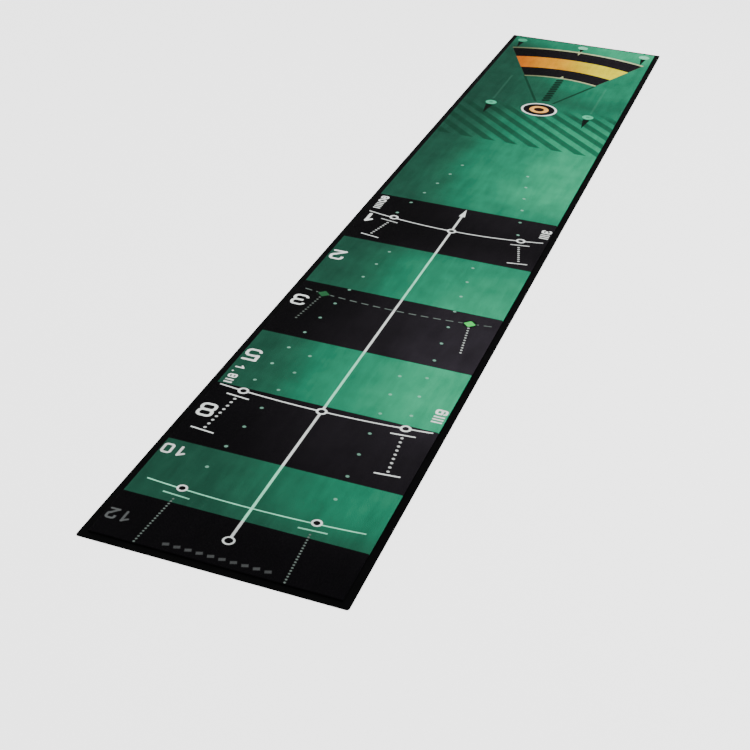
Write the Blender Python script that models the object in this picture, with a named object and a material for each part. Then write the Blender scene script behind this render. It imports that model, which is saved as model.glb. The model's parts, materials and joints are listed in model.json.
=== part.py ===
"""A practice putting mat that rolls up: a rubber base sheet with a printed pile fabric bonded on it.

Both sheets are one piece on the real mat. Rigid solids can't bend, so each sheet is cut across into
equal sections, and each section turns on the one before it about a line across the top of the pile.
The mat lies flat at rest, with +Y towards the target end and its underside on Z = 0.
"""

import bmesh
import bpy
from mathutils import Vector

# Overall sizes of the mat, in metres.
MAT_LENGTH = 3.0
MAT_WIDTH = 0.5
RUBBER_THICKNESS = 0.0018
PILE_THICKNESS = 0.0027

# The bare rubber border around the pile, and the rounding of both sheets' corners and edges.
BORDER_WIDTH = 0.016
MAT_CORNER_RADIUS = 0.005
PILE_CORNER_RADIUS = 0.002
RUBBER_EDGE_ROUNDING = 0.0007
PILE_EDGE_ROUNDING = 0.0009
CORNER_SEGMENTS = 5
EDGE_SEGMENTS = 2

# How the sheets are divided so that they can roll.
SECTION_COUNT = 30
SECTION_GAP = 0.0003
LAYER_GAP = 0.0003

# Where the printed black and green bands end, from the player's end of the mat, and their colours.
BAND_ENDS = (0.147, 0.330, 0.548, 0.782, 1.032, 1.289, 1.560, MAT_LENGTH)
RUBBER_BLACK = (0.004, 0.004, 0.004, 1.0)
PILE_BLACK = (0.012, 0.011, 0.013, 1.0)
PILE_GREEN = (0.035, 0.225, 0.120, 1.0)


def make_material(name, colour, roughness):
    """Return a plain non-metal material."""
    material = bpy.data.materials.new(name)
    material.use_nodes = True
    shader = material.node_tree.nodes["Principled BSDF"]
    shader.inputs["Base Color"].default_value = colour
    shader.inputs["Roughness"].default_value = roughness
    shader.inputs["Metallic"].default_value = 0.0
    material.diffuse_color = colour
    return material


def rounded_sheet(width, length, bottom, top, corner_radius, edge_rounding):
    """Return a bmesh of a flat sheet, rounded at its four corners and along its upper rim."""
    sheet = bmesh.new()
    bmesh.ops.create_cube(sheet, size=1.0)
    bmesh.ops.scale(sheet, vec=(width, length, top - bottom), verts=sheet.verts)
    bmesh.ops.translate(sheet, vec=(0.0, 0.0, (top + bottom) / 2), verts=sheet.verts)
    corners = [edge for edge in sheet.edges if abs((edge.verts[0].co - edge.verts[1].co).z) > 0]
    bmesh.ops.bevel(
        sheet, geom=corners, offset=corner_radius, segments=CORNER_SEGMENTS, profile=0.5, affect="EDGES"
    )
    middle = (top + bottom) / 2
    rim = [edge for edge in sheet.edges if all(vert.co.z > middle for vert in edge.verts)]
    bmesh.ops.bevel(
        sheet, geom=rim, offset=edge_rounding, segments=EDGE_SEGMENTS, profile=0.5, affect="EDGES"
    )
    return sheet


def cut_across(sheet, place, direction):
    """Cut the sheet at Y = place, drop the side that direction points to and close the cut."""
    cut = bmesh.ops.bisect_plane(
        sheet,
        geom=sheet.verts[:] + sheet.edges[:] + sheet.faces[:],
        plane_co=Vector((0.0, place, 0.0)),
        plane_no=Vector((0.0, direction, 0.0)),
        clear_outer=True,
    )
    edges = [item for item in cut["geom_cut"] if isinstance(item, bmesh.types.BMEdge)]
    if edges:
        bmesh.ops.contextual_create(sheet, geom=edges)


def add_section(sheet, name, start, end, hinge, material, collection):
    """Add the stretch of the sheet from Y = start to Y = end as an object with its origin at its hinge."""
    piece = sheet.copy()
    cut_across(piece, start, -1.0)
    cut_across(piece, end, 1.0)
    bmesh.ops.recalc_face_normals(piece, faces=piece.faces)
    bmesh.ops.translate(piece, vec=-hinge, verts=piece.verts)
    mesh = bpy.data.meshes.new(name)
    piece.to_mesh(mesh)
    piece.free()
    mesh.materials.append(material)
    section = bpy.data.objects.new(name, mesh)
    section.location = hinge
    collection.objects.link(section)


def band_is_green(distance):
    """Tell whether the print is green at this distance from the player's end."""
    index = sum(distance > end for end in BAND_ENDS)
    return index % 2 == 1


def main():
    """Build both sheets of the mat, section by section."""
    for old in list(bpy.data.objects):
        bpy.data.objects.remove(old, do_unlink=True)
    collection = bpy.data.collections.new("practice_putting_mat")
    bpy.context.scene.collection.children.link(collection)

    rubber_black = make_material("rubber_black", RUBBER_BLACK, 0.75)
    pile_black = make_material("pile_black", PILE_BLACK, 0.95)
    pile_green = make_material("pile_green", PILE_GREEN, 0.95)

    pile_bottom = RUBBER_THICKNESS + LAYER_GAP
    pile_top = pile_bottom + PILE_THICKNESS
    rubber = rounded_sheet(
        MAT_WIDTH, MAT_LENGTH, 0.0, RUBBER_THICKNESS, MAT_CORNER_RADIUS, RUBBER_EDGE_ROUNDING
    )
    pile = rounded_sheet(
        MAT_WIDTH - 2 * BORDER_WIDTH,
        MAT_LENGTH - 2 * BORDER_WIDTH,
        pile_bottom,
        pile_top,
        PILE_CORNER_RADIUS,
        PILE_EDGE_ROUNDING,
    )

    player_end = -MAT_LENGTH / 2
    pitch = (MAT_LENGTH + SECTION_GAP) / SECTION_COUNT
    for index in range(SECTION_COUNT):
        start = player_end + index * pitch
        end = start + pitch - SECTION_GAP
        hinge = Vector((0.0, start - SECTION_GAP / 2, pile_top))
        green = band_is_green((start + end) / 2 - player_end)
        number = f"{index + 1:02d}"
        add_section(rubber, f"rubber_base_{number}", start, end, hinge, rubber_black, collection)
        cover = pile_green if green else pile_black
        add_section(pile, f"pile_fabric_{number}", start, end, hinge, cover, collection)
    rubber.free()
    pile.free()


main()
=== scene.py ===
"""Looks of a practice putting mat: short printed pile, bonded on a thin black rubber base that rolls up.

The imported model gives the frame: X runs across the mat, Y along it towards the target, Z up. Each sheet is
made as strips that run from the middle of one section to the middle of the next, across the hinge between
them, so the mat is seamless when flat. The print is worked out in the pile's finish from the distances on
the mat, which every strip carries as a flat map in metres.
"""

import json
import logging
import math
from dataclasses import dataclass, field
from enum import Enum
from typing import Any, Dict, List, Optional, Sequence, Tuple, Union

import bpy
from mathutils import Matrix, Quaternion, Vector, noise


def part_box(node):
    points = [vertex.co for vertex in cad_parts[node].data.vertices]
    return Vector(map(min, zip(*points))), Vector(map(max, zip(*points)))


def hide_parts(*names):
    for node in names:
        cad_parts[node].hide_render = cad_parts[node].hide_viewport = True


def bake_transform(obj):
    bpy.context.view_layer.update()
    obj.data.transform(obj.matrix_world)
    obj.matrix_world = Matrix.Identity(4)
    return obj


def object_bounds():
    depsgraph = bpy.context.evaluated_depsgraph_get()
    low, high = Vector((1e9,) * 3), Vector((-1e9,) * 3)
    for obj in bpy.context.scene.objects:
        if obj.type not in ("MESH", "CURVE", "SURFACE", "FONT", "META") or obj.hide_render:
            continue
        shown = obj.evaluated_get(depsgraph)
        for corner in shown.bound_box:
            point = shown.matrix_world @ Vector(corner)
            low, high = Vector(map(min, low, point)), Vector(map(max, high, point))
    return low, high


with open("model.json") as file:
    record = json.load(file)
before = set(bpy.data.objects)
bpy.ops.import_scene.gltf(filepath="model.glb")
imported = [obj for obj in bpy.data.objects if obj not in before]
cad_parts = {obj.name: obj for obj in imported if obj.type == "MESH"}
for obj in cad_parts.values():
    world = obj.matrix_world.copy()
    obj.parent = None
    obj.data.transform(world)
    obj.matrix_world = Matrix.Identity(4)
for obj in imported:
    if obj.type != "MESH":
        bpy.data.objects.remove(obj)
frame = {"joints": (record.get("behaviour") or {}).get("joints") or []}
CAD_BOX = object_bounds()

LOG = logging.getLogger("putting_mat")
PRINT_MAP = "print_map"
WHITE_LIGHT = (1.0, 1.0, 1.0, 1.0)

Colour = Tuple[float, float, float]
Point = Tuple[float, float]


# ---- Shader nodes


class Signal:
    """A number that varies over a surface, with arithmetic that adds its own nodes."""

    def __init__(self, nodes: "NodeBench", socket: bpy.types.NodeSocket) -> None:
        """Wrap an output socket of one of the bench's nodes."""
        self.nodes = nodes
        self.socket = socket

    def _math(self, operation: str, *values: "Value") -> "Signal":
        """Return the result of a Math node.

        Args:
            operation: the node's operation.
            values: its inputs, in order.

        Returns:
            The node's output.
        """
        made = self.nodes.add("ShaderNodeMath", {"operation": operation}, dict(enumerate(values)))
        return Signal(self.nodes, made.outputs[0])

    def __add__(self, other: "Value") -> "Signal":
        """Add."""
        return self._math("ADD", self, other)

    __radd__ = __add__

    def __sub__(self, other: "Value") -> "Signal":
        """Subtract."""
        return self._math("SUBTRACT", self, other)

    def __rsub__(self, other: "Value") -> "Signal":
        """Subtract from a number."""
        return self._math("SUBTRACT", other, self)

    def __mul__(self, other: "Value") -> "Signal":
        """Multiply."""
        return self._math("MULTIPLY", self, other)

    __rmul__ = __mul__

    def __truediv__(self, other: "Value") -> "Signal":
        """Divide."""
        return self._math("DIVIDE", self, other)

    def __abs__(self) -> "Signal":
        """Drop the sign."""
        return self._math("ABSOLUTE", self)

    def smallest(self, other: "Value") -> "Signal":
        """Return the smaller of the two."""
        return self._math("MINIMUM", self, other)

    def largest(self, other: "Value") -> "Signal":
        """Return the larger of the two."""
        return self._math("MAXIMUM", self, other)

    def merged(self, other: "Value", blend: float) -> "Signal":
        """Return the smaller of the two, with the corner between them rounded over the blend distance."""
        return self._math("SMOOTH_MIN", self, other, blend)

    def rounded(self) -> "Signal":
        """Return the nearest whole number."""
        return self._math("ROUND", self)

    def sine(self) -> "Signal":
        """Return the sine, in radians."""
        return self._math("SINE", self)

    def hypotenuse(self, other: "Signal") -> "Signal":
        """Return the length of the two taken as the sides of a right angle."""
        squares = self * self + other * other
        return squares._math("SQRT", squares)


Value = Union[float, Signal]


def beyond(value: Signal, start: float, end: float) -> Signal:
    """Return how far the value lies outside the stretch from start to end, below zero inside it."""
    return abs(value - (start + end) / 2) - (end - start) / 2


class NodeBench:
    """Makes the nodes of one material."""

    def __init__(self, tree: bpy.types.NodeTree) -> None:
        """Start on an empty tree."""
        self.tree = tree

    def add(self, kind: str, settings: Dict[str, Any], inputs: Dict[Any, Any]) -> bpy.types.Node:
        """Add a node.

        Args:
            kind: the node's type.
            settings: its own settings, set first; "stops" holds a ramp's places and colours.
            inputs: what each input socket is set to or linked from, by name or number.

        Returns:
            The node.
        """
        made = self.tree.nodes.new(kind)
        for name, value in settings.items():
            if name == "stops":
                self._set_stops(made.color_ramp, value)
            else:
                setattr(made, name, value)
        for name, value in inputs.items():
            source = value.socket if isinstance(value, Signal) else value
            if isinstance(source, bpy.types.NodeSocket):
                self.tree.links.new(source, made.inputs[name])
            else:
                made.inputs[name].default_value = source
        return made

    @staticmethod
    def _set_stops(ramp: bpy.types.ColorRamp, stops: Sequence[Tuple[float, Colour]]) -> None:
        """Give a ramp its stops, in order.

        Args:
            ramp: the new ramp, which has two stops.
            stops: each stop's place and colour.
        """
        ramp.interpolation = "EASE"
        for number, (place, colour) in enumerate(stops):
            stop = ramp.elements[number] if number < 2 else ramp.elements.new(place)
            stop.position = place
            stop.color = (*colour, 1.0)

    def vector(self, operation: str, *values: Any) -> bpy.types.NodeSocket:
        """Return the vector result of a Vector Math node with these inputs, in order."""
        made = self.add("ShaderNodeVectorMath", {"operation": operation}, dict(enumerate(values)))
        return made.outputs["Vector"]

    def measure(self, operation: str, *values: Any) -> Signal:
        """Return the number that a Vector Math node gives for these inputs, in order."""
        made = self.add("ShaderNodeVectorMath", {"operation": operation}, dict(enumerate(values)))
        return Signal(self, made.outputs["Value"])

    def scaled(self, vector: Any, factor: Value) -> bpy.types.NodeSocket:
        """Return a vector or colour multiplied by a number."""
        made = self.add("ShaderNodeVectorMath", {"operation": "SCALE"}, {0: vector, "Scale": factor})
        return made.outputs["Vector"]

    def between(self, value: Value, low: float, high: float, soft: bool = False) -> Signal:
        """Return 0 where the value is at low and 1 where it is at high, held at both ends.

        Args:
            value: what is read.
            low: the value that gives 0.
            high: the value that gives 1; it may be below low.
            soft: whether the share eases in and out.

        Returns:
            The share.
        """
        settings = {"clamp": True, "interpolation_type": "SMOOTHSTEP" if soft else "LINEAR"}
        made = self.add("ShaderNodeMapRange", settings, {"Value": value, "From Min": low, "From Max": high})
        return Signal(self, made.outputs["Result"])

    def mixed(self, share: Value, base: Any, top: Any) -> bpy.types.NodeSocket:
        """Return the base colour with that share of the top colour over it."""
        inputs = {0: share, 6: base, 7: top}
        return self.add("ShaderNodeMix", {"data_type": "RGBA"}, inputs).outputs[2]

    def noise(self, vector: Any, scale: float, detail: float = 2.0, roughness: float = 0.5) -> bpy.types.Node:
        """Return a Noise Texture over the vector, with that many grains a metre."""
        inputs = {"Vector": vector, "Scale": scale, "Detail": detail, "Roughness": roughness}
        return self.add("ShaderNodeTexNoise", {"noise_dimensions": "2D"}, inputs)

    def grain(self, vector: Any, scale: float, detail: float = 2.0, roughness: float = 0.5) -> Signal:
        """Return the noise as a number from 0 to 1."""
        return Signal(self, self.noise(vector, scale, detail, roughness).outputs[0])

    def parts(self, vector: Any) -> Tuple[Signal, Signal]:
        """Return a vector's X and Y."""
        made = self.add("ShaderNodeSeparateXYZ", {}, {0: vector})
        return Signal(self, made.outputs["X"]), Signal(self, made.outputs["Y"])

    def joined(self, x: Signal, y: Signal) -> bpy.types.NodeSocket:
        """Return the flat vector that has this X and Y."""
        return self.add("ShaderNodeCombineXYZ", {}, {"X": x, "Y": y}).outputs[0]

    def flat_map(self) -> bpy.types.NodeSocket:
        """Return the place on the flat mat, in metres across it and from the player's end."""
        return self.add("ShaderNodeUVMap", {"uv_map": PRINT_MAP}, {}).outputs["UV"]

    def raise_surface(self, shader: bpy.types.Node, strength: float, depth: float, height: Signal) -> None:
        """Give a shader the bumps of a height.

        Args:
            shader: the material's Principled node.
            strength: how much of the bumps shows.
            depth: how deep a height of 1 is, in metres.
            height: the height.
        """
        inputs = {"Strength": strength, "Distance": depth, "Height": height}
        bump = self.add("ShaderNodeBump", {}, inputs)
        self.tree.links.new(bump.outputs["Normal"], shader.inputs["Normal"])


# ---- Print

TARGET_AT = 2.328  # how far the target's centre is from the player's end of the mat
HALF_DIAGONAL = 0.707
DIAGONAL = (HALF_DIAGONAL, HALF_DIAGONAL, 0.0)


@dataclass(frozen=True)
class Dye:
    """A colour of the print, which may carry painted shade towards the mat's left edge and painted light
    towards its right.
    """

    # Painted light: left is the print colour in painted shade, right the print colour in painted light, and
    # middle lies between them. Full is the share of painted light at which right is reached.
    left: Colour
    middle: Colour
    right: Colour
    full: float = 1.0

    @classmethod
    def even(cls, red: float, green: float, blue: float) -> "Dye":
        """Return a dye that is the same all over."""
        colour = (red, green, blue)
        return cls(colour, colour, colour)

    def laid(self, pen: "Pen") -> Any:
        """Return the dye's colour: plain numbers, or a ramp's output over the painted light and shade where
        it shades.

        Args:
            pen: the places on the mat.

        Returns:
            What a colour socket is set to or linked from.
        """
        if self.left == self.right:
            return (*self.middle, 1.0)
        stops = [(0.0, self.left), (self.full / 2, self.middle), (self.full, self.right)]
        return pen.nodes.add("ShaderNodeValToRGB", {"stops": stops}, {"Fac": pen.across}).outputs["Color"]


# Dyes with three different colours carry painted light: they are darker on the left as painted shade and
# lighter on the right as painted light (BLACK, GREEN, LEAF, CHALK, PIN, AMBER and GOLD).
BLACK = Dye((0.0010, 0.0008, 0.0012), (0.0072, 0.0060, 0.0078), (0.0200, 0.0168, 0.0222))
GREEN = Dye((0.0085, 0.0490, 0.0300), (0.0125, 0.1700, 0.0900), (0.0235, 0.3200, 0.1560))
WHITE = Dye.even(0.82, 0.86, 0.83)
MINT = Dye.even(0.30, 0.86, 0.57)
GREY = Dye.even(0.075, 0.080, 0.080)
ASH = Dye.even(0.110, 0.140, 0.125)
DUST = Dye.even(0.290, 0.620, 0.460)
LEAF = Dye((0.016, 0.078, 0.034), (0.030, 0.250, 0.070), (0.050, 0.560, 0.095), full=0.8)
CHALK = Dye((0.130, 0.160, 0.140), (0.300, 0.330, 0.310), (0.640, 0.700, 0.660), full=0.8)
PIN = Dye((0.055, 0.430, 0.240), (0.060, 0.500, 0.270), (0.090, 0.560, 0.330))
DEEP_GREEN = Dye.even(0.0035, 0.0340, 0.0180)
SHADE = Dye.even(0.0020, 0.0060, 0.0040)
PEACH = Dye.even(0.860, 0.400, 0.085)
BROWN = Dye.even(0.0090, 0.0025, 0.0018)
AMBER = Dye((0.440, 0.080, 0.004), (0.600, 0.240, 0.004), (0.700, 0.590, 0.006), full=0.52)
GOLD = Dye((0.100, 0.115, 0.060), (0.400, 0.440, 0.230), (0.600, 0.740, 0.420))


class Pen:
    """The places on the mat that the print's marks are measured from, in metres, and the painted light and
    shade that the shaded dyes take there.
    """

    EDGE_BLUR = 0.0012
    BLEED = 0.0010
    BLEED_GRAINS = 850.0
    # Painted light: these set how the shaded dyes go from painted shade at the left edge to painted light at
    # the right, the painted sheen that swells and fades along the mat, and the painted haze of light at the
    # far end.
    CLOUD_GRAINS = 7.0
    CLOUD_DRIFT = 0.08
    PAINTED_LIGHT_EDGES = (-0.22, 0.195)
    PAINTED_LIGHT_SPAN = 0.78
    PAINTED_LIGHT_FLOOR = 0.07
    PAINTED_HAZE_STRETCH = (2.86, 2.99)
    PAINTED_HAZE = 0.25
    PAINTED_SHEEN_LENGTH = 3.0
    PAINTED_SHEEN = (
        (0.06, 0.03), (0.26, 0.38), (0.65, 1.0), (0.92, 0.95), (1.18, 0.80), (1.38, 0.30),
        (1.75, 1.0), (2.16, 0.92), (2.42, 0.32), (2.62, 0.62), (2.84, 0.70), (2.93, 1.0),
    )

    def __init__(self, nodes: NodeBench) -> None:
        """Read the map, let the dye's edges wander a little from tuft to tuft, and work out the painted light
        and shade across the mat.

        Args:
            nodes: where the nodes go.
        """
        self.nodes = nodes
        self.flat = nodes.flat_map()
        tufts = nodes.noise(self.flat, self.BLEED_GRAINS, 1.0).outputs["Color"]
        wander = nodes.scaled(nodes.vector("SUBTRACT", tufts, (0.5, 0.5, 0.5)), self.BLEED)
        self.place = nodes.vector("MULTIPLY", nodes.vector("ADD", self.flat, wander), (1.0, 1.0, 0.0))
        self.x, self.along = nodes.parts(self.place)
        self.side = abs(self.x)
        self.folded = nodes.joined(self.side, self.along)
        # Painted light across the mat: 0 is painted shade at the left edge and 1 is painted light at the
        # right, with cloud noise making the change wander. A painted haze of light lifts the far end.
        clouds = nodes.grain(self.flat, self.CLOUD_GRAINS)
        across = nodes.between(self.x + (clouds - 0.5) * self.CLOUD_DRIFT, *self.PAINTED_LIGHT_EDGES, soft=True)
        painted_haze = nodes.between(self.along, *self.PAINTED_HAZE_STRETCH) * self.PAINTED_HAZE
        self.across = (across * self.PAINTED_LIGHT_SPAN + self.PAINTED_LIGHT_FLOOR) * self._painted_sheen() + painted_haze

    def _painted_sheen(self) -> Signal:
        """Return how far the painted light reaches across the mat, a painted sheen that rises and falls along
        it.

        Returns:
            A share from 0 to 1.
        """
        stops = [(place / self.PAINTED_SHEEN_LENGTH, (share, share, share)) for place, share in self.PAINTED_SHEEN]
        inputs = {"Fac": self.along / self.PAINTED_SHEEN_LENGTH}
        ramp = self.nodes.add("ShaderNodeValToRGB", {"stops": stops}, inputs)
        return Signal(self.nodes, ramp.outputs["Color"])

    def offset(self, centre: Point, mirrored: bool) -> bpy.types.NodeSocket:
        """Return the vector from a centre, or from the nearer of two that mirror each other."""
        return self.nodes.vector("SUBTRACT", self.folded if mirrored else self.place, (*centre, 0.0))

    def turned(self, centre: Point, angle: float, mirrored: bool) -> Tuple[Signal, Signal]:
        """Return the distances from a centre along and across a direction.

        Args:
            centre: where both are zero.
            angle: the direction, in radians from the X axis.
            mirrored: whether the mark has a twin on the mat's other side.

        Returns:
            The distance along the direction and the distance to its left.
        """
        offset = self.offset(centre, mirrored)
        cosine, sine = math.cos(angle), math.sin(angle)
        along = self.nodes.measure("DOT_PRODUCT", offset, (cosine, sine, 0.0))
        across = self.nodes.measure("DOT_PRODUCT", offset, (-sine, cosine, 0.0))
        return along, across

    def from_target(self) -> Signal:
        """Return the distance from the target's centre."""
        return self.nodes.measure("DISTANCE", self.place, (0.0, TARGET_AT, 0.0))

    def cover(self, distance: Signal) -> Signal:
        """Return 1 inside an outline and 0 outside it, blurred as dye is on pile."""
        return self.nodes.between(distance, self.EDGE_BLUR / 2, -self.EDGE_BLUR / 2)


@dataclass(frozen=True)
class Mark:
    """Something printed on the mat, in one dye."""

    dye: Dye
    strength: float = field(default=1.0, kw_only=True)
    mirrored: bool = field(default=False, kw_only=True)

    def reach(self) -> Tuple[float, float]:
        """Return the stretch of the mat that the mark may touch, from the player's end."""
        raise NotImplementedError

    def outline(self, pen: Pen) -> Signal:
        """Return the distance from the mark's outline, below zero inside it."""
        raise NotImplementedError

    def lay(self, pen: Pen, base: Any) -> Any:
        """Print the mark over what is there.

        Args:
            pen: the places on the mat.
            base: the colour so far.

        Returns:
            The colour with the mark on it.
        """
        share = pen.cover(self.outline(pen))
        if self.strength < 1.0:
            share = share * self.strength
        return pen.nodes.mixed(share, base, self.dye.laid(pen))


@dataclass(frozen=True)
class Band(Mark):
    """A stretch of the mat printed in one colour from side to side."""

    start: float
    end: float

    def reach(self) -> Tuple[float, float]:
        """Return the band's stretch."""
        return self.start, self.end

    def outline(self, pen: Pen) -> Signal:
        """Return the distance from the band's nearer end."""
        return beyond(pen.along, self.start, self.end)


@dataclass(frozen=True)
class Bar(Mark):
    """A straight bar, turned to any angle."""

    centre: Point
    length: float
    width: float
    angle: float = 0.0

    def reach(self) -> Tuple[float, float]:
        """Return the stretch around the bar's centre."""
        half = abs(math.sin(self.angle)) * self.length / 2 + self.width
        return self.centre[1] - half, self.centre[1] + half

    def outline(self, pen: Pen) -> Signal:
        """Return the distance from the bar's outline."""
        along, across = pen.turned(self.centre, self.angle, self.mirrored)
        return (abs(along) - self.length / 2).largest(abs(across) - self.width / 2)


@dataclass(frozen=True)
class Disc(Mark):
    """A round spot."""

    centre: Point
    radius: float

    def reach(self) -> Tuple[float, float]:
        """Return the stretch across the disc."""
        return self.centre[1] - self.radius, self.centre[1] + self.radius

    def outline(self, pen: Pen) -> Signal:
        """Return the distance from the disc's rim."""
        return pen.nodes.measure("LENGTH", pen.offset(self.centre, self.mirrored)) - self.radius


@dataclass(frozen=True)
class Diamond(Disc):
    """A square spot that stands on a rounded corner."""

    CORNER_CUT = 0.8

    def outline(self, pen: Pen) -> Signal:
        """Return the distance from the sides, or from the circle that rounds the corners.

        Args:
            pen: the places on the mat.

        Returns:
            The distance, in metres.
        """
        offset = pen.offset(self.centre, self.mirrored)
        sides = pen.nodes.measure("DOT_PRODUCT", pen.nodes.vector("ABSOLUTE", offset), DIAGONAL)
        corners = pen.nodes.measure("LENGTH", offset) * self.CORNER_CUT
        return sides.largest(corners) - self.radius * HALF_DIAGONAL


@dataclass(frozen=True)
class Arc(Mark):
    """A line that stays at one distance from the target, solid or dashed."""

    radius: float
    width: float
    half_span: float
    dash: float = 0.0
    space: float = 0.0

    def reach(self) -> Tuple[float, float]:
        """Return the stretch from the arc's middle to its ends.

        Returns:
            The stretch's two ends.
        """
        nearest = TARGET_AT - self.radius
        rise = self.radius - math.sqrt(self.radius**2 - self.half_span**2)
        return nearest - self.width, nearest + rise + self.width

    def outline(self, pen: Pen) -> Signal:
        """Return the distance from the line's outline.

        Args:
            pen: the places on the mat.

        Returns:
            The distance, in metres.
        """
        line = abs(pen.from_target() - self.radius) - self.width / 2
        line = line.largest(pen.side - self.half_span)
        if not self.dash:
            return line
        pitch = self.dash + self.space
        middle = (pen.side / pitch - 0.5).rounded() * pitch + pitch / 2
        return line.largest(abs(pen.side - middle) - self.dash / 2)


@dataclass(frozen=True)
class DotRow(Mark):
    """Equal dots on both of the lines that lead to the target at one slope, or a little beside it."""

    slope: float
    start: float
    pitch: float
    count: int
    size: float
    shift: float = 0.0

    def reach(self) -> Tuple[float, float]:
        """Return the stretch from the first dot to the last."""
        return self.start - self.size, self.start + self.pitch * (self.count - 1) + self.size

    def outline(self, pen: Pen) -> Signal:
        """Return the distance from the rim of the nearest dot.

        Args:
            pen: the places on the mat.

        Returns:
            The distance, in metres.
        """
        number = ((pen.along - self.start) / self.pitch).rounded().largest(0.0).smallest(self.count - 1.0)
        level = pen.along - (number * self.pitch + self.start)
        off = abs(pen.x - self.shift) - (TARGET_AT - pen.along) * self.slope
        return level.hypotenuse(off) - self.size / 2


@dataclass(frozen=True)
class Wedge(Mark):
    """A triangle that points along the mat, from its base to its tip."""

    middle: float
    base: float
    tip: float
    half_base: float

    def reach(self) -> Tuple[float, float]:
        """Return the stretch from base to tip."""
        return min(self.base, self.tip), max(self.base, self.tip)

    def outline(self, pen: Pen) -> Signal:
        """Return the distance from the wedge's sides or its base.

        Args:
            pen: the places on the mat.

        Returns:
            The distance, in metres.
        """
        side = pen.side if self.mirrored else pen.x
        away = abs(side - self.middle)
        left = (self.tip - pen.along) / (self.tip - self.base)
        sides = away - left * self.half_base
        return sides.largest((left - 1.0) * abs(self.tip - self.base))


@dataclass(frozen=True)
class Sector(Mark):
    """The part of a ring round the target that lies beyond it, between two lines from its centre."""

    inner: float
    outer: float
    slope: float

    def reach(self) -> Tuple[float, float]:
        """Return the stretch from the inner corners to the outer arc's middle."""
        return TARGET_AT + self.inner / math.hypot(1.0, self.slope), TARGET_AT + self.outer

    def outline(self, pen: Pen) -> Signal:
        """Return the distance from the sector's outline.

        Args:
            pen: the places on the mat.

        Returns:
            The distance, in metres.
        """
        ring = beyond(pen.from_target(), self.inner, self.outer)
        cosine = 1.0 / math.hypot(1.0, self.slope)
        return ring.largest((pen.side - (pen.along - TARGET_AT) * self.slope) * cosine)


@dataclass(frozen=True)
class Ray(Mark):
    """A thin line on each of two lines from the target's centre, beyond it."""

    start: float
    end: float
    slope: float
    width: float

    def reach(self) -> Tuple[float, float]:
        """Return the ray's stretch."""
        return self.start, self.end

    def outline(self, pen: Pen) -> Signal:
        """Return the distance from the ray's outline.

        Args:
            pen: the places on the mat.

        Returns:
            The distance, in metres.
        """
        off = abs(pen.side - (pen.along - TARGET_AT) * self.slope) - self.width / 2
        return off.largest(beyond(pen.along, self.start, self.end))


@dataclass(frozen=True)
class MownStripes(Mark):
    """Soft diagonal stripes, as a mower leaves them."""

    SOFTNESS = 0.45
    FADE_SLANT = 0.08
    FADE_LENGTH = 0.07

    start: float
    end: float
    pitch: float
    phase: float

    def reach(self) -> Tuple[float, float]:
        """Return the striped stretch."""
        return self.start, self.end

    def lay(self, pen: Pen, base: Any) -> Any:
        """Darken every other stripe; the field starts sharply and fades out at its far end.

        Args:
            pen: the places on the mat.
            base: the colour so far.

        Returns:
            The colour with the stripes on it.
        """
        turn = (pen.x + pen.along - self.phase) * (2 * math.pi / self.pitch)
        wave = (turn + math.pi / 2).sine()
        stripe = pen.nodes.between(wave, -self.SOFTNESS, self.SOFTNESS, soft=True)
        field_share = pen.cover(self.start - pen.along)
        slanted = pen.along - pen.x * self.FADE_SLANT
        fade = pen.nodes.between(slanted, self.end, self.end - self.FADE_LENGTH, soft=True)
        return pen.nodes.mixed(stripe * field_share * fade * self.strength, base, self.dye.laid(pen))


@dataclass(frozen=True)
class Run:
    """A straight stroke of a figure, its ends given in half widths and half heights."""

    start: Point
    end: Point

    def away(self, nodes: NodeBench, place: Any, half: Point) -> Signal:
        """Return the distance from the stroke's centre line.

        Args:
            nodes: where the nodes go.
            place: the vector from the figure's middle.
            half: the figure's half width and half height, to the centre lines of its strokes.

        Returns:
            The distance, never below zero.
        """
        start = Vector((self.start[0] * half[0], self.start[1] * half[1], 0.0))
        end = Vector((self.end[0] * half[0], self.end[1] * half[1], 0.0))
        run = end - start
        if run.length == 0.0:
            return nodes.measure("DISTANCE", place, start)
        offset = nodes.vector("SUBTRACT", place, start)
        share = nodes.measure("DOT_PRODUCT", offset, run / run.length_squared)
        nearest = nodes.scaled(run, share.largest(0.0).smallest(1.0))
        return nodes.measure("DISTANCE", offset, nearest)


@dataclass(frozen=True)
class Bowl:
    """A round-cornered loop of a figure, as wide as the figure, which may be open where a box bites it."""

    low: float
    high: float
    bite: Optional[Tuple[float, float, float, float]] = None
    roundness: float = 0.62

    def away(self, nodes: NodeBench, place: Any, half: Point) -> Signal:
        """Return the distance from the loop's centre line.

        Args:
            nodes: where the nodes go.
            place: the vector from the figure's middle.
            half: the figure's half width and half height, to the centre lines of its strokes.

        Returns:
            The distance, never below zero.
        """
        corner = self.roundness * half[0]
        middle = (0.0, (self.low + self.high) / 2 * half[1], 0.0)
        reach = (half[0] - corner, (self.high - self.low) / 2 * half[1] - corner, 0.0)
        folded = nodes.vector("ABSOLUTE", nodes.vector("SUBTRACT", place, middle))
        past = nodes.vector("SUBTRACT", folded, reach)
        past_x, past_y = nodes.parts(past)
        inside = past_x.largest(past_y).smallest(0.0)
        outside = nodes.measure("LENGTH", nodes.vector("MAXIMUM", past, (0.0, 0.0, 0.0)))
        loop = abs(outside + inside - corner)
        if self.bite is None:
            return loop
        left, low, right, high = self.bite
        centre = ((left + right) / 2 * half[0], (low + high) / 2 * half[1], 0.0)
        depth = nodes.vector("ABSOLUTE", nodes.vector("SUBTRACT", place, centre))
        edge = ((right - left) / 2 * half[0], (high - low) / 2 * half[1], 1.0)
        open_x, open_y = nodes.parts(nodes.vector("SUBTRACT", edge, depth))
        return loop.largest(open_x.smallest(open_y))


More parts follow.
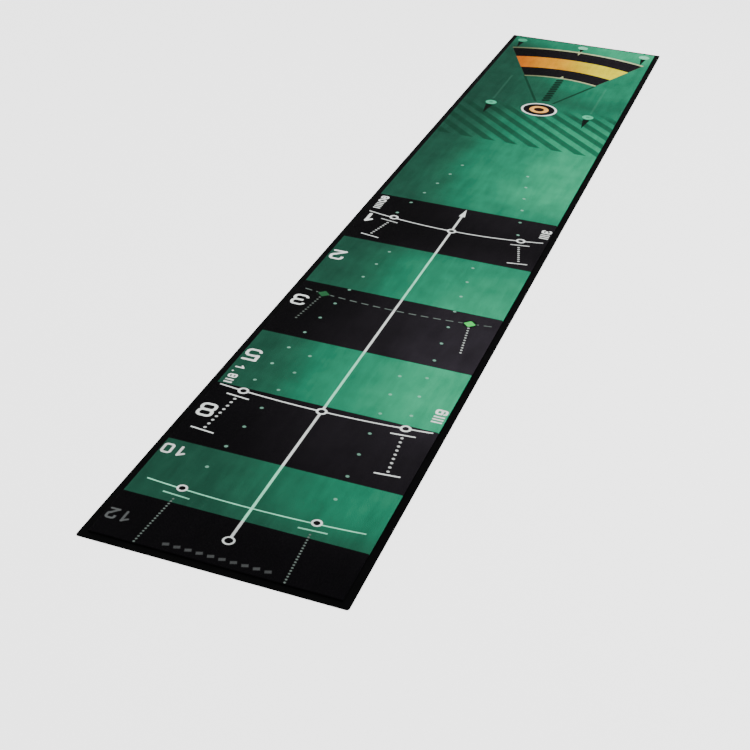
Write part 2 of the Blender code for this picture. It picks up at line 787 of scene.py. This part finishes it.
NUMERALS: Dict[str, Tuple[Union[Run, Bowl], ...]] = {
    "0": (Bowl(-1, 1),),
    "1": (Run((0.3, -1), (0.3, 1)), Run((-0.9, 0.45), (0.3, 1))),
    "2": (
        Bowl(-0.15, 1, bite=(-1.9, -0.8, 0.45, 0.5)),
        Run((0.85, 0.12), (-1, -1)),
        Run((-1, -1), (1, -1)),
    ),
    "3": (
        Bowl(0, 1, bite=(-1.9, -0.75, -0.35, 0.75)),
        Bowl(-1, 0, bite=(-1.9, -0.75, -0.35, 0.75)),
    ),
    "5": (
        Bowl(-1, 0.15, bite=(-1.9, -0.72, -0.2, 0.05)),
        Run((-1, 0.15), (0, 0.15)),
        Run((-1, 0.15), (-1, 1)),
        Run((-1, 1), (0.95, 1)),
    ),
    "6": (Bowl(-1, 1, bite=(-0.2, 0.05, 1.9, 0.72)), Bowl(-1, 0.12)),
    "8": (Bowl(0, 1), Bowl(-1, 0)),
    "9": (Bowl(-1, 1, bite=(-1.9, -0.72, 0.2, -0.05)), Bowl(-0.12, 1)),
    ".": (Run((0, -1), (0, -1)),),
}


@dataclass(frozen=True)
class PrintedNumber(Mark):
    """A number in round-ended strokes, which melt together a little where they meet."""

    MELT = 0.35

    text: str
    centre: Point
    figure: Tuple[float, float]
    stroke: float
    angle: float
    gap: float = 0.006

    def length(self) -> float:
        """Return how long the whole number is."""
        return len(self.text) * self.figure[0] + (len(self.text) - 1) * self.gap

    def reach(self) -> Tuple[float, float]:
        """Return the stretch around the number."""
        half = max(self.length(), self.figure[1]) / 2
        return self.centre[1] - half, self.centre[1] + half

    def outline(self, pen: Pen) -> Signal:
        """Return the distance from the nearest stroke's outline.

        Args:
            pen: the places on the mat.

        Returns:
            The distance, in metres.
        """
        along, up = pen.turned(self.centre, self.angle, False)
        place = pen.nodes.joined(along, up)
        half = ((self.figure[0] - self.stroke) / 2, (self.figure[1] - self.stroke) / 2)
        nearest: Optional[Signal] = None
        for number, figure in enumerate(self.text):
            middle = (self.figure[0] - self.length()) / 2 + number * (self.figure[0] + self.gap)
            from_middle = pen.nodes.vector("SUBTRACT", place, (middle, 0.0, 0.0))
            for stroke in NUMERALS[figure]:
                away = stroke.away(pen.nodes, from_middle, half)
                nearest = away if nearest is None else nearest.merged(away, self.stroke * self.MELT)
        return nearest - self.stroke / 2


@dataclass(frozen=True)
class PrintLayout:
    """Where everything is printed on the mat."""

    band_edges: Tuple[float, ...] = (0.144, 0.325, 0.5445, 0.775, 1.026, 1.280, 1.553, 2.990)
    line_width: float = 0.0054
    line_start: float = 0.094
    line_end: float = 1.510
    thin_line: float = 0.0036
    ring_side: float = 0.171
    diamonds_at: float = 0.981
    column: float = -0.2110
    pin_side: float = 0.148
    far_pin_side: float = 0.206
    far_pins_at: float = 2.947
    fan_slope: float = 0.410
    upside_down: float = math.pi
    edgewise: float = -math.pi / 2

    def marks(self) -> List[Mark]:
        """Return every mark, in the order in which they are laid.

        Returns:
            The marks, the lowest first.
        """
        return [
            *self.bands(),
            *self.guide_dots(),
            *self.distance_lines(),
            *self.rulers(),
            *self.numbers(),
            *self.player_end(),
            *self.target(),
            *self.fan(),
            *self.pins(),
        ]

    def bands(self) -> List[Mark]:
        """Return the green bands, which leave black between them, and the mown stripes before the target.

        Returns:
            The four bands and the stripes.
        """
        starts, ends = self.band_edges[0::2], self.band_edges[1::2]
        greens: List[Mark] = [Band(GREEN, start, end) for start, end in zip(starts, ends)]
        return greens + [MownStripes(DEEP_GREEN, 2.032, 2.362, 0.0654, 2.0905, strength=0.72)]

    def guide_dots(self) -> List[Mark]:
        """Return the small pale dots that lead to the target.

        Returns:
            One row for each slope.
        """
        return [
            DotRow(DUST, 0.0613, 0.267, 0.0743, 7, 0.0074, strength=0.40),
            DotRow(DUST, 0.0955, 0.581, 0.0735, 10, 0.0074, strength=0.46),
            DotRow(DUST, 0.1810, 1.461, 0.0725, 6, 0.0082, strength=0.46),
        ]

    def distance_lines(self) -> List[Mark]:
        """Return the centre line, the four lines across it and the rings where they meet.

        Returns:
            The lines, with the diamonds, the arrow head and the rings over them.
        """
        marks: List[Mark] = [
            Arc(MINT, 2.145, 0.0031, 0.211, strength=0.78),
            Arc(WHITE, 1.803, self.thin_line, 0.2245, strength=0.90),
            Arc(ASH, 1.357, 0.0034, 0.228, 0.017, 0.011, strength=0.95),
            Arc(WHITE, 0.914, self.thin_line, 0.2245, strength=0.80),
            Disc(SHADE, (self.ring_side, self.diamonds_at), 0.0165, mirrored=True, strength=0.7),
            Diamond(LEAF, (self.ring_side, self.diamonds_at), 0.0140, mirrored=True),
            *self.centre_line(),
            Wedge(WHITE, 0.0, 1.505, 1.5495, 0.0078, strength=0.9),
        ]
        for place in ((0.0, 0.525), (0.0, 1.414), (-0.1555, 1.431), (0.1715, 1.431)):
            marks += self.ring(place)
        for x in (-0.139, 0.121):
            marks += self.ring((x, 0.1894), radius=0.0104, hole=0.0064, strength=0.78)
        marks += self.ring((0.0, 0.0845), hole=0.0080, strength=0.72)
        return marks + self.ring((self.ring_side, 0.533), mirrored=True)

    def centre_line(self) -> List[Mark]:
        """Return the line to the target, which the green shows through and the black doesn't.

        Returns:
            One bar for each band that the line crosses.
        """
        ends = [self.line_start, *[edge for edge in self.band_edges if edge < self.line_end], self.line_end]
        line: List[Mark] = []
        for number, (start, end) in enumerate(zip(ends, ends[1:])):
            dye, strength = (MINT, 0.84) if number % 2 else (WHITE, 0.80 if number else 0.60)
            place = (0.0, (start + end) / 2)
            line.append(Bar(dye, place, end - start, self.line_width, math.pi / 2, strength=strength))
        return line

    @staticmethod
    def ring(
        centre: Point,
        radius: float = 0.0114,
        hole: float = 0.0068,
        mirrored: bool = False,
        strength: float = 0.9,
    ) -> List[Mark]:
        """Return a white ring with a dark centre."""
        white = Disc(WHITE, centre, radius, mirrored=mirrored, strength=strength)
        return [white, Disc(BLACK, centre, hole, mirrored=mirrored)]

    def rulers(self) -> List[Mark]:
        """Return the dotted rulers and the bars at their ends, on both sides of the line.

        Returns:
            The dots and the bars.
        """
        return [
            self.ruler_bar(-0.1400, 0.1664, 0.054, 0.58, dye=MINT),
            self.ruler_bar(0.1220, 0.1664, 0.054, 0.58, dye=MINT),
            DotRow(ASH, 0.0602, 0.020, 0.0079, 18, 0.0042, -0.009, strength=0.95),
            self.ruler_bar(0.173, 0.5097, 0.050, 0.90, mirrored=True),
            DotRow(WHITE, 0.0955, 0.3845, 0.0143, 9, 0.0062, strength=0.58),
            self.ruler_bar(0.187, 0.3740, 0.050, 0.92, mirrored=True),
            DotRow(CHALK, 0.1270, 0.854, 0.0108, 11, 0.0050, strength=0.62),
            *self.short_ruler(-0.160, -0.177),
            *self.short_ruler(0.1755, 0.1935),
        ]

    def short_ruler(self, far: float, near: float) -> List[Mark]:
        """Return one ruler of the last line: its dots and the bars across its two ends.

        Args:
            far: where its far bar is, across the mat.
            near: where its near bar is.

        Returns:
            The dots, then the bars.
        """
        first, last, count = 1.322, 1.394, 8
        slope = (near - far) / (last - first)
        places = [first + (last - first) * number / (count - 1) for number in range(count)]
        dots: List[Mark] = [
            Disc(WHITE, (near - (place - first) * slope, place), 0.0030, strength=0.48) for place in places
        ]
        bars = [self.ruler_bar(far, 1.4070, 0.046, 0.66), self.ruler_bar(near, 1.3080, 0.048, 0.78)]
        return dots + bars

    def ruler_bar(
        self,
        x: float,
        along: float,
        length: float,
        strength: float,
        mirrored: bool = False,
        dye: Dye = WHITE,
    ) -> Bar:
        """Return a bar across the line from a ruler to the target."""
        angle = math.atan2(x, TARGET_AT - along)
        return Bar(dye, (x, along), length, self.thin_line, angle, strength=strength, mirrored=mirrored)

    def numbers(self) -> List[Mark]:
        """Return the distances, which read from the target, and the small scales beside two lines.

        Returns:
            The numbers and their ticks.
        """
        turn, column = self.upside_down, self.column
        one, other = (0.026, 0.048), (0.0345, 0.048)
        return [
            PrintedNumber(GREY, "12", (-0.2055, 0.0755), (0.020, 0.031), 0.0048, turn),
            PrintedNumber(WHITE, "10", (-0.2055, 0.2930), (0.022, 0.032), 0.0052, turn, strength=0.72),
            PrintedNumber(WHITE, "8", (-0.2085, 0.4420), other, 0.0066, turn),
            PrintedNumber(WHITE, "5", (column, 0.6695), other, 0.0066, turn, strength=0.95),
            PrintedNumber(WHITE, "3", (column, 0.9340), other, 0.0064, turn),
            PrintedNumber(WHITE, "2", (column, 1.1770), other, 0.0068, turn, strength=0.95),
            PrintedNumber(WHITE, "1", (-0.2120, 1.4060), one, 0.0078, turn),
            *self.scale("1.8", (-0.2145, 0.5960), (0.0145, 0.0200), 2),
            *self.scale("90", (-0.2145, 1.5240), (0.0170, 0.0200), 4),
            *self.scale("6", (0.2190, 0.6160), (0.0190, 0.0250), 3),
            *self.scale("3", (0.2190, 1.5060), (0.0190, 0.0250), 3),
        ]

    def scale(self, text: str, centre: Point, figure: Point, ticks: int) -> List[Mark]:
        """Return a small number that reads along the mat's edge, with plain ticks after it.

        Args:
            text: the number.
            centre: the number's middle.
            figure: a figure's width and height.
            ticks: how many ticks follow it.

        Returns:
            The number and its ticks.
        """
        number = PrintedNumber(WHITE, text, centre, figure, 0.26 * figure[0], self.edgewise, 0.0038)
        first = centre[1] - number.length() / 2 - 0.0085
        places = [(centre[0], first - 0.0098 * tick) for tick in range(ticks)]
        return [number, *[Bar(WHITE, place, figure[1] * 0.9, 0.0046, strength=0.9) for place in places]]

    def player_end(self) -> List[Mark]:
        """Return a plain row of faint dashes where the player stands."""
        places = [((number - 4.5) * 0.021, 0.034) for number in range(10)]
        return [Bar(GREY, place, 0.012, 0.0075, 0.35, strength=0.55) for place in places]

    def target(self) -> List[Mark]:
        """Return the target: a hole-sized disc in rings.

        Returns:
            Its discs, the widest first.
        """
        centre = (0.0, TARGET_AT)
        rings = ((WHITE, 0.0534), (BLACK, 0.0470), (PEACH, 0.0285), (BROWN, 0.0152))
        return [Disc(dye, centre, radius) for dye, radius in rings]

    def fan(self) -> List[Mark]:
        """Return the fan beyond the target, the lines that lead to it and its pointers.

        Returns:
            The fan's marks, the lowest first.
        """
        slope = self.fan_slope
        ticks = [(0.0, 2.415 + number * 0.0212) for number in range(10)]
        return [
            Ray(DEEP_GREEN, 2.392, 2.606, slope, 0.0080, strength=0.95),
            Bar(DEEP_GREEN, (0.0, 2.508), 0.204, 0.0220, math.pi / 2, strength=0.55),
            *[Bar(SHADE, place, 0.0235, 0.0125, 0.5, strength=0.85) for place in ticks],
            Sector(GOLD, 0.2955, 0.5790, slope),
            Sector(BLACK, 0.3040, 0.3810, slope),
            Sector(AMBER, 0.3810, 0.4860, slope),
            Sector(BLACK, 0.4860, 0.5680, slope),
            Wedge(GOLD, 0.0, 2.628, 2.652, 0.0070),
            Wedge(GOLD, 0.0, 2.912, 2.872, 0.0070),
        ]

    def pins(self) -> List[Mark]:
        """Return the round pins beside the target and at the far edge, each with its pointer.

        Returns:
            The pins and their pointers.
        """
        beside, far = (self.pin_side, TARGET_AT), self.far_pin_side
        return [
            Bar(MINT, (0.150, 2.475), 0.230, 0.0064, math.pi / 2, strength=0.028, mirrored=True),
            Wedge(SHADE, self.pin_side, 2.307, 2.232, 0.0104, mirrored=True),
            Disc(PIN, beside, 0.0166, mirrored=True, strength=0.95),
            Disc(GREEN, beside, 0.0060, mirrored=True, strength=0.6),
            Wedge(SHADE, far, 2.928, 2.864, 0.0084, mirrored=True),
            Disc(PIN, (-far, self.far_pins_at), 0.0160, strength=0.70),
            Disc(MINT, (far, self.far_pins_at), 0.0172, strength=0.60),
            Wedge(SHADE, 0.0, 2.938, 2.902, 0.0070),
            Disc(MINT, (0.0, 2.953), 0.0160, strength=0.66),
        ]


# ---- Finishes


def new_material(name: str, **constants: Any) -> Tuple[bpy.types.Material, bpy.types.Node]:
    """Return a new material with its Principled node.

    Args:
        name: what the material is called.
        constants: what sockets of the node are set to, by name with _ for each space.

    Returns:
        The material and the node.
    """
    material = bpy.data.materials.new(name)
    material.use_nodes = True
    shader = material.node_tree.nodes["Principled BSDF"]
    for socket, value in constants.items():
        shader.inputs[socket.replace("_", " ")].default_value = value
    return material, shader


def placed(name: str, data: bpy.types.ID) -> bpy.types.Object:
    """Return a new object in the scene.

    Args:
        name: what it is called.
        data: its mesh, light or camera.

    Returns:
        The object, at the origin.
    """
    made = bpy.data.objects.new(name, data)
    bpy.context.scene.collection.objects.link(made)
    return made


@dataclass(frozen=True)
class PileFinish:
    """Short dyed nylon pile: dull, a little furry towards the edge of sight, with a nap that streaks."""

    sheen: float = 0.008
    sheen_roughness: float = 0.45
    roughness: float = 0.95
    specular: float = 0.02
    tufts: float = 820.0
    tuft_depth: float = 0.0010
    relief: float = 0.7
    streaks: float = 46.0
    streak_squeeze: float = 0.16
    patches: float = 16.0
    streak_light: float = 0.50
    speckle_light: float = 1.10
    patch_light: float = 0.40

    def material(self, name: str, start: float, end: float, marks: Sequence[Mark]) -> bpy.types.Material:
        """Make the finish of one stretch of the mat.

        Args:
            name: the material's name.
            start: where the stretch starts, from the player's end.
            end: where it ends.
            marks: the whole print; only what reaches this stretch gets nodes.

        Returns:
            The material.
        """
        material, shader = new_material(
            name,
            Roughness=self.roughness,
            Specular_IOR_Level=self.specular,
            Sheen_Weight=self.sheen,
            Sheen_Roughness=self.sheen_roughness,
        )
        pen = Pen(NodeBench(material.node_tree))
        # The print's colours, with the painted shade and painted light that the shaded dyes carry across the
        # mat.
        colour = BLACK.laid(pen)
        for mark in marks:
            first, last = mark.reach()
            if last > start - Pen.BLEED and first < end + Pen.BLEED:
                colour = mark.lay(pen, colour)
        self._nap(pen, shader, colour)
        return material

    def _nap(self, pen: Pen, shader: bpy.types.Node, colour: Any) -> None:
        """Streak and speckle the colour, and raise the tufts.

        Args:
            pen: the places on the mat.
            shader: the material's Principled node.
            colour: the print's colour.
        """
        nodes = pen.nodes
        drawn = nodes.vector("MULTIPLY", pen.flat, (1.0, self.streak_squeeze, 0.0))
        streaks = nodes.grain(drawn, self.streaks, 3.0, 0.6)
        speckle = nodes.grain(pen.flat, self.tufts, 2.0, 0.8)
        patches = nodes.grain(pen.flat, self.patches)
        light = streaks * self.streak_light + speckle * self.speckle_light + patches * self.patch_light
        nodes.tree.links.new(nodes.scaled(colour, light), shader.inputs["Base Color"])
        inputs = {"Vector": pen.flat, "Scale": self.tufts, "Randomness": 1.0}
        cells = nodes.add("ShaderNodeTexVoronoi", {"voronoi_dimensions": "2D"}, inputs)
        tips = 1.0 - Signal(nodes, cells.outputs["Distance"])
        height = tips * 0.8 + speckle * 1.4 + streaks * 0.4
        nodes.raise_surface(shader, self.relief, self.tuft_depth, height)


class RubberFace(Enum):
    """The two faces of the rubber base, by the pattern that the mould left on them."""

    BORDER = "border"
    UNDERSIDE = "underside"


@dataclass(frozen=True)
class RubberFinish:
    """Moulded black nitrile rubber, finely pebbled, with crossed ribs underneath for grip."""

    colours: Dict[RubberFace, Colour] = field(
        default_factory=lambda: {
            RubberFace.BORDER: (0.0009, 0.0009, 0.0010),
            RubberFace.UNDERSIDE: (0.0080, 0.0080, 0.0085),
        }
    )
    speculars: Dict[RubberFace, float] = field(
        default_factory=lambda: {RubberFace.BORDER: 0.012, RubberFace.UNDERSIDE: 0.30}
    )
    grain: float = 950.0
    wear: float = 24.0
    relief: float = 0.6
    depth: float = 0.0005
    rib_pitch: float = 0.0040
    rib_height: float = 1.6
    pebble_height: float = 0.5
    least_roughness: float = 0.40

    def material(self, name: str, face: RubberFace) -> bpy.types.Material:
        """Make the finish of one face.

        Args:
            name: the material's name.
            face: which face it is for.

        Returns:
            The material.
        """
        colour = (*self.colours[face], 1.0)
        material, shader = new_material(name, Base_Color=colour, Specular_IOR_Level=self.speculars[face])
        nodes = NodeBench(material.node_tree)
        flat = nodes.flat_map()
        pebbles = nodes.grain(flat, self.grain, 2.0, 0.6)
        wear = nodes.grain(flat, self.wear, 3.0, 0.6)
        height = pebbles * self.pebble_height
        if face is RubberFace.UNDERSIDE:
            height = height + self._ribs(nodes, flat)
        nodes.raise_surface(shader, self.relief, self.depth, height)
        roughness = pebbles * 0.18 + wear * 0.30 + self.least_roughness
        nodes.tree.links.new(roughness.socket, shader.inputs["Roughness"])
        return material

    def _ribs(self, nodes: NodeBench, flat: Any) -> Signal:
        """Return the height of two sets of ribs that cross in diamonds.

        Args:
            nodes: where the nodes go.
            flat: the place on the flat mat.

        Returns:
            The height, as a share of the relief.
        """
        turn = 2 * math.pi / self.rib_pitch
        slant = HALF_DIAGONAL * turn
        rising = nodes.measure("DOT_PRODUCT", flat, (slant, slant, 0.0)).sine()
        falling = nodes.measure("DOT_PRODUCT", flat, (slant, -slant, 0.0)).sine()
        return nodes.between(rising.largest(falling), 0.55, 0.95, soft=True) * self.rib_height


# ---- Sheets


@dataclass(frozen=True)
class Hinges:
    """Where the mat's sections turn on each other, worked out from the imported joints."""

    count: int
    pitch: float

    @classmethod
    def from_frame(cls, joints: Sequence[Dict[str, Any]]) -> "Hinges":
        """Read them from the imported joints."""
        places = sorted(joint["pos_m"][1] for joint in joints)
        return cls(len(places), (places[-1] - places[0]) / (len(places) - 1))

    def place(self, number: int) -> float:
        """Return where hinge number 1, 2 and so on lies along the mat."""
        return (number - (self.count + 1) / 2) * self.pitch

    def bodies(self, number: int) -> Tuple[str, str]:
        """Return the two bodies that a hinge joins."""
        return f"section_{number:02d}", f"section_{number + 1:02d}"

    def window(self, number: int) -> Tuple[float, float]:
        """Return where the bend over a hinge starts and ends.

        A bend over three sections makes strips that meet in one smooth curve. The first one starts at its
        strip's own edge, so that the tail stays flat on the floor.

        Args:
            number: the hinge.

        Returns:
            The two places along the mat.
        """
        before = 0.5 if number == 1 else 1.5
        after = 1.0 if number == 1 else 1.5
        return self.place(number) - before * self.pitch, self.place(number) + after * self.pitch


@dataclass
class Sheet:
    """A thin sheet with round corners and a rounded upper rim, made as strips."""

    name: str
    half_width: float
    half_length: float
    bottom: float
    top: float
    corner: float
    rim: float
    wall: float
    column: float
    row: float
    relief: float
    ragged: float
    tongue: float = 0.0040
    recess: float = 0.00030

    UNDER_STEPS = (0.0, 0.02, 0.5, 0.98, 1.0)
    SHARP_ANGLE = math.radians(50.0)
    RIM_STEPS = (0.0, 0.05, 0.16, 0.34, 0.60, 1.0)
    TONGUE_STEPS = ((0.0, 0.15), (0.35, 0.40), (0.70, 0.70), (1.0, 1.0))

    def columns(self) -> List[float]:
        """Return the places across the sheet that its upper face has vertices at.

        Returns:
            The places, from left to right.
        """
        inner = self.half_width - self.rim
        count = max(2, round(2 * inner / self.column))
        flat = [-inner + 2 * inner * number / count for number in range(1, count)]
        left = [-self.half_width + self.rim * step for step in self.RIM_STEPS]
        return left + flat + [-x for x in reversed(left)]

    def rows(self, start: float, end: float) -> List[float]:
        """Return the places along a strip that it has vertices at, closer at the sheet's own ends.

        Args:
            start: where the strip starts.
            end: where it ends.

        Returns:
            The places, in order.
        """
        count = max(1, round((end - start) / self.row))
        rows = [start + (end - start) * number / count for number in range(count + 1)]
        if start <= -self.half_length:
            near = [start + self.rim * step for step in self.RIM_STEPS]
            rows = near + [y for y in rows if y > start + self.rim]
        if end >= self.half_length:
            near = [end - self.rim * step for step in reversed(self.RIM_STEPS)]
            rows = [y for y in rows if y < end - self.rim] + near
        return rows

    def narrowing(self, y: float) -> float:
        """Return how much narrower the sheet is on each side at this place, at its round corners.

        Args:
            y: the place along the sheet.

        Returns:
            The width that is missing on one side.
        """
        inside = self.half_length - abs(y)
        if inside >= self.corner:
            return 0.0
        return self.corner - math.sqrt(max(0.0, self.corner**2 - (self.corner - inside) ** 2))

    def crown(self, inside: float) -> float:
        """Return the share of its full height that the rim has at this distance from the outline."""
        share = min(1.0, max(0.0, inside / self.rim))
        return math.sqrt(1.0 - (1.0 - share) ** 2)

    def surface(self, x: float, y: float, half: float) -> Tuple[float, float]:
        """Return where a vertex of the upper face lies.

        Args:
            x: its place across the sheet.
            y: its place along the sheet.
            half: the sheet's half width there.

        Returns:
            Its place across, with the edge's raggedness, and its height.
        """
        round_side = self.crown(half - abs(x))
        round_end = self.crown(self.half_length - abs(y))
        height = self.bottom + self.wall + (self.top - self.bottom - self.wall) * round_side * round_end
        lift = noise.noise(Vector((x * 90.0, y * 30.0, 3.0))) * 0.6
        lift += noise.noise(Vector((x * 430.0, y * 430.0, 7.0))) * 0.9
        height += self.relief * (lift - 0.5) * round_side * round_end
        edge = 1.0 - min(1.0, (half - abs(x)) / (2.0 * self.rim))
        wander = noise.noise(Vector((math.copysign(5.0, x), y * 700.0, 0.0)))
        return x + wander * self.ragged * edge, height

    def ring(self, y: float, inset: float) -> List[Tuple[float, float, float]]:
        """Return the vertices round the sheet at one place: the upper face, then the lower one.

        Args:
            y: the place along the sheet.
            inset: how far inside the sheet's own faces the ring lies.

        Returns:
            The vertices, anticlockwise as seen from the player's end.
        """
        half = self.half_width - self.narrowing(y)
        scale = half / self.half_width
        upper = [self.surface(x * scale, y, half) for x in self.columns()]
        shrink = 1.0 - inset / self.half_width
        ring = [(x * shrink, y, z - inset) for x, z in reversed(upper)]
        left, right = upper[0][0] * shrink, upper[-1][0] * shrink
        for share in self.UNDER_STEPS:
            ring.append((left + (right - left) * share, y, self.bottom + inset))
        return ring

    def strip(self, number: int, start: float, end: float, tongue: bool) -> bpy.types.Object:
        """Make one strip of the sheet as a closed mesh.

        Args:
            number: the hinge that it runs across.
            start: where it starts along the sheet.
            end: where it ends.
            tongue: whether a recessed tongue runs on into the next strip.

        Returns:
            The strip, not yet dressed.
        """
        rings = [self.ring(y, 0.0) for y in self.rows(start, end)]
        if tongue:
            steps = [(self.tongue * out, self.recess * down) for out, down in self.TONGUE_STEPS]
            rings += [self.ring(end + out, down) for out, down in steps]
        around = len(rings[0])
        faces = []
        for row in range(len(rings) - 1):
            for column in range(around):
                here = row * around + column
                beside = row * around + (column + 1) % around
                faces.append((here, here + around, beside + around, beside))
        last = (len(rings) - 1) * around
        faces.append(tuple(range(around)))
        faces.append(tuple(last + column for column in reversed(range(around))))
        mesh = bpy.data.meshes.new(f"{self.name}_{number:02d}")
        mesh.from_pydata([vertex for ring in rings for vertex in ring], [], faces)
        mesh.update()
        mesh.shade_smooth()
        mesh.set_sharp_from_angle(angle=self.SHARP_ANGLE)
        self._map(mesh)
        return placed(mesh.name, mesh)

    def _map(self, mesh: bpy.types.Mesh) -> None:
        """Give every corner its place on the flat mat: across it, and from the player's end.

        Args:
            mesh: the strip's mesh, still flat.
        """
        layer = mesh.uv_layers.new(name=PRINT_MAP)
        player_end = CAD_BOX[0].y
        for loop in mesh.loops:
            place = mesh.vertices[loop.vertex_index].co
            layer.uv[loop.index].vector = (place.x, place.y - player_end)

    def strips(self, hinges: Hinges) -> List[bpy.types.Object]:
        """Make all the strips, each from the middle of one section to the middle of the next.

        Args:
            hinges: where the mat bends.

        Returns:
            The strips, from the player's end.
        """
        made = []
        for number in range(1, hinges.count + 1):
            middle = hinges.place(number)
            start = -self.half_length if number == 1 else middle - hinges.pitch / 2
            end = self.half_length if number == hinges.count else middle + hinges.pitch / 2
            made.append(self.strip(number, start, end, tongue=number < hinges.count))
        return made


@dataclass
class PuttingMat:
    """The whole mat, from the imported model's boxes: a rubber base and the pile on it."""

    hinges: Hinges
    layout: PrintLayout = field(default_factory=PrintLayout)
    pile_finish: PileFinish = field(default_factory=PileFinish)
    rubber_finish: RubberFinish = field(default_factory=RubberFinish)

    def base(self) -> List[bpy.types.Object]:
        """Make the rubber base, with its bare border and its ribbed underside.

        Returns:
            Its strips, from the player's end.
        """
        low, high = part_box("rubber_base_01")
        sheet = Sheet(
            "rubber_base_strip", CAD_BOX[1].x, CAD_BOX[1].y, low.z, high.z,
            corner=0.005, rim=0.0010, wall=0.0009,
            column=0.020, row=0.0033, relief=0.00004, ragged=0.00006,
        )
        border = self.rubber_finish.material("rubber_border", RubberFace.BORDER)
        underside = self.rubber_finish.material("rubber_underside", RubberFace.UNDERSIDE)
        strips = sheet.strips(self.hinges)
        for number, strip in enumerate(strips, start=1):
            strip.data.materials.append(border)
            strip.data.materials.append(underside)
            for face in strip.data.polygons:
                face.material_index = int(face.normal.z < -0.7)
            self._fit(strip, number, "rubber_base")
        return strips

    def pile(self, base: Sequence[bpy.types.Object]) -> List[bpy.types.Object]:
        """Make the pile with its print, strip by strip, on the strips of the base.

        Args:
            base: the strips that it lies on.

        Returns:
            Its strips, from the player's end.
        """
        low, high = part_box("pile_fabric_01")
        sheet = Sheet(
            "pile_fabric_strip", high.x, -low.y, low.z, high.z,
            corner=0.002, rim=0.0018, wall=0.0010,
            column=0.0026, row=0.0026, relief=0.00016, ragged=0.00045,
        )
        marks = self.layout.marks()
        strips = sheet.strips(self.hinges)
        for number, strip in enumerate(strips, start=1):
            places = [vertex.co.y - CAD_BOX[0].y for vertex in strip.data.vertices]
            start, end = min(places), max(places)
            on_section = start + self.hinges.pitch / 2
            finish = self.pile_finish.material(f"printed_pile_{number:02d}", start, end, marks)
            strip.data.materials.append(finish)
            self._fit(strip, number, "pile_fabric")
            green = sum(on_section > edge for edge in self.layout.band_edges) % 2 == 1
            flat = (2 * sheet.half_width, end - start)
            base[number - 1].name
        return strips

    def _fit(self, strip: bpy.types.Object, number: int, layer: str) -> None:
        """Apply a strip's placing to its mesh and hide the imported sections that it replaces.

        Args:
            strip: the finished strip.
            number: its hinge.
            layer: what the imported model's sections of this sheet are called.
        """
        start, end = self.hinges.window(number)
        self.hinges.bodies(number)
        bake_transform(strip)
        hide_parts(f"{layer}_{number:02d}")
        if number == self.hinges.count:
            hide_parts(f"{layer}_{number + 1:02d}")
        LOG.info("%s: %d faces", strip.name, len(strip.data.polygons))


# ---- Studio


@dataclass(frozen=True)
class Lamp:
    """A soft square light that points at the mat."""

    name: str
    place: Tuple[float, float, float]
    aim: Tuple[float, float, float]
    size: float
    watts: float

    def build(self) -> None:
        """Put the light in the scene."""
        light = bpy.data.lights.new(self.name, "AREA")
        light.energy = self.watts
        light.size = self.size
        holder = placed(self.name, light)
        holder.location = self.place
        holder.rotation_euler = (Vector(self.aim) - Vector(self.place)).to_track_quat("-Z", "Y").to_euler()


@dataclass(frozen=True)
class Studio:
    """A plain pale floor, soft light and the camera."""

    floor_size: float = 60.0
    floor_colour: Colour = (0.92, 0.92, 0.92)
    floor_glow: float = 1.5
    floor_gap: float = 0.0002
    sky: float = 1.20
    lens: float = 67.27
    shift: float = 0.06
    camera_place: Tuple[float, float, float] = (0.7918, -3.1385, 1.5059)
    camera_aim: Tuple[float, float, float] = (-0.0362, -0.8336, 0.0)
    camera_roll: float = math.radians(-2.1)

    def build(self) -> None:
        """Make the floor, the lights and the camera."""
        self._floor()
        self._sky()
        Lamp("key", (2.2, -0.6, 3.4), (0.1, 0.1, 0.0), 2.6, 150.0).build()
        Lamp("fill", (-2.6, 1.6, 3.6), (0.0, 0.3, 0.0), 3.2, 46.0).build()
        self._camera()

    def _floor(self) -> None:
        """Lay the floor just under the mat."""
        half = self.floor_size / 2
        mesh = bpy.data.meshes.new("floor")
        corners = [(-half, -half, 0.0), (half, -half, 0.0), (half, half, 0.0), (-half, half, 0.0)]
        mesh.from_pydata(corners, [], [(0, 1, 2, 3)])
        floor = placed("floor", mesh)
        floor.location.z = -self.floor_gap
        material, _ = new_material(
            "pale_floor",
            Base_Color=(*self.floor_colour, 1.0),
            Emission_Color=WHITE_LIGHT,
            Emission_Strength=self.floor_glow,
            Roughness=0.8,
            Specular_IOR_Level=0.1,
        )
        mesh.materials.append(material)

    def _sky(self) -> None:
        """Fill the room with even white light."""
        world = bpy.data.worlds.new("studio")
        world.use_nodes = True
        background = world.node_tree.nodes["Background"]
        background.inputs["Color"].default_value = WHITE_LIGHT
        background.inputs["Strength"].default_value = self.sky
        bpy.context.scene.world = world

    def _camera(self) -> None:
        """Place the camera at the player's right hand, looking down the mat."""
        data = bpy.data.cameras.new("camera")
        data.lens = self.lens
        data.shift_x = self.shift
        data.clip_end = 100.0
        camera = placed("camera", data)
        view = Vector(self.camera_aim) - Vector(self.camera_place)
        level = view.to_track_quat("-Z", "Y")
        camera.rotation_mode = "QUATERNION"
        camera.rotation_quaternion = Quaternion(view.normalized(), self.camera_roll) @ level
        camera.location = self.camera_place
        bpy.context.scene.camera = camera


def main() -> None:
    """Build the studio and the mat, sheet by sheet."""
    logging.basicConfig(level=logging.INFO, format="%(message)s")
    Studio().build()
    mat = PuttingMat(Hinges.from_frame(frame["joints"]))
    base = mat.base()
    pile = mat.pile(base)
    LOG.info("%d strips of rubber and %d of pile", len(base), len(pile))


if __name__ == "__main__":
    main()
